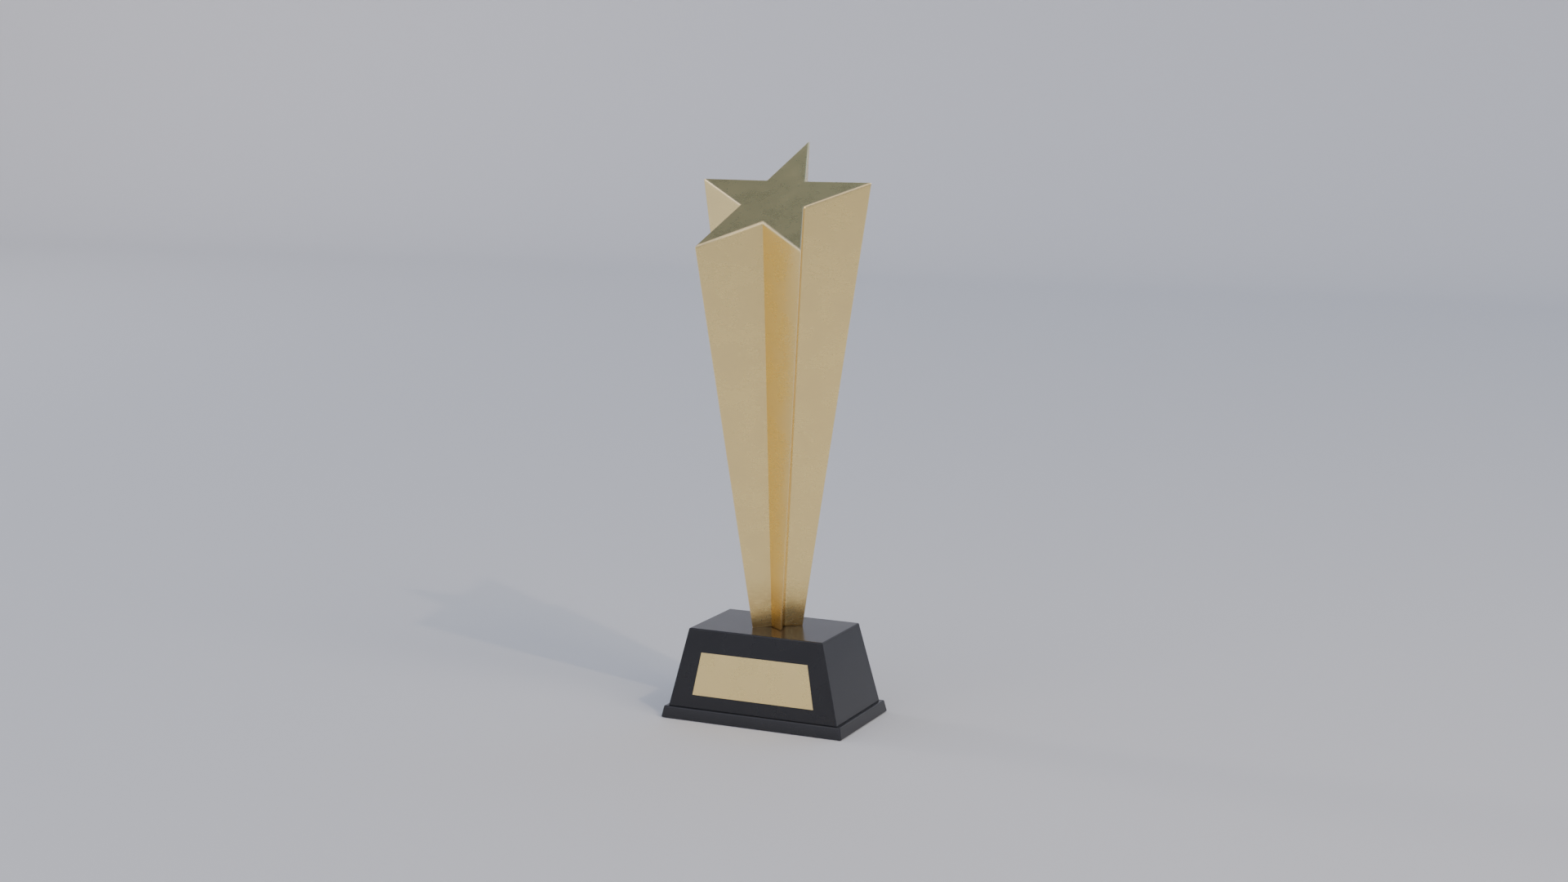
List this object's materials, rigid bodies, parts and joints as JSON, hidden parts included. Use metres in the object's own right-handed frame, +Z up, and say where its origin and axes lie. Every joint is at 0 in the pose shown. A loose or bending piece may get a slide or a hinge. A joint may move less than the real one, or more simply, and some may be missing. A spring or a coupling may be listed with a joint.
{
  "type": "star trophy",
  "caption": "Tall tapering star-section award column with a tilted star face, bolted to a weighted sloping base with a blank nameplate.",
  "frame": {"origin": "middle of the base, on the surface the trophy stands on", "axes": "+Z up; +X to the right along the long side of the base; the nameplate and the low edge of the tilted star face -Y"},
  "size_m": [0.105, 0.0765, 0.3046],
  "materials": {
    "gold_plate": "satin gold plating with fine handling scratches",
    "black_lacquer": "satin black lacquer",
    "brass_insert": "turned",
    "zinc_plated_steel": "zinc plated",
    "ballast_iron": "rough cast",
    "black_felt": "pressed felt",
    "adhesive_foam": "double-sided mounting tape"
  },
  "bodies": {
    "root": {"star_column": "gold_plate", "foot_insert": "brass_insert", "tie_rod": "zinc_plated_steel", "dowel_pin_left": "zinc_plated_steel", "dowel_pin_right": "zinc_plated_steel", "spreader_plate": "zinc_plated_steel", "tie_rod_washer": "zinc_plated_steel", "tie_rod_spring_washer": "zinc_plated_steel", "tie_rod_nut": "zinc_plated_steel", "base_block": "black_lacquer", "base_plinth": "black_lacquer", "ballast_block": "ballast_iron", "felt_pad": "black_felt", "plinth_screw_front_left": "zinc_plated_steel", "plinth_screw_back_left": "zinc_plated_steel", "plinth_screw_front_right": "zinc_plated_steel", "plinth_screw_back_right": "zinc_plated_steel", "ballast_screw_left": "zinc_plated_steel", "ballast_screw_right": "zinc_plated_steel", "nameplate_adhesive": "adhesive_foam", "nameplate": "gold_plate"}
  },
  "joints": []
}
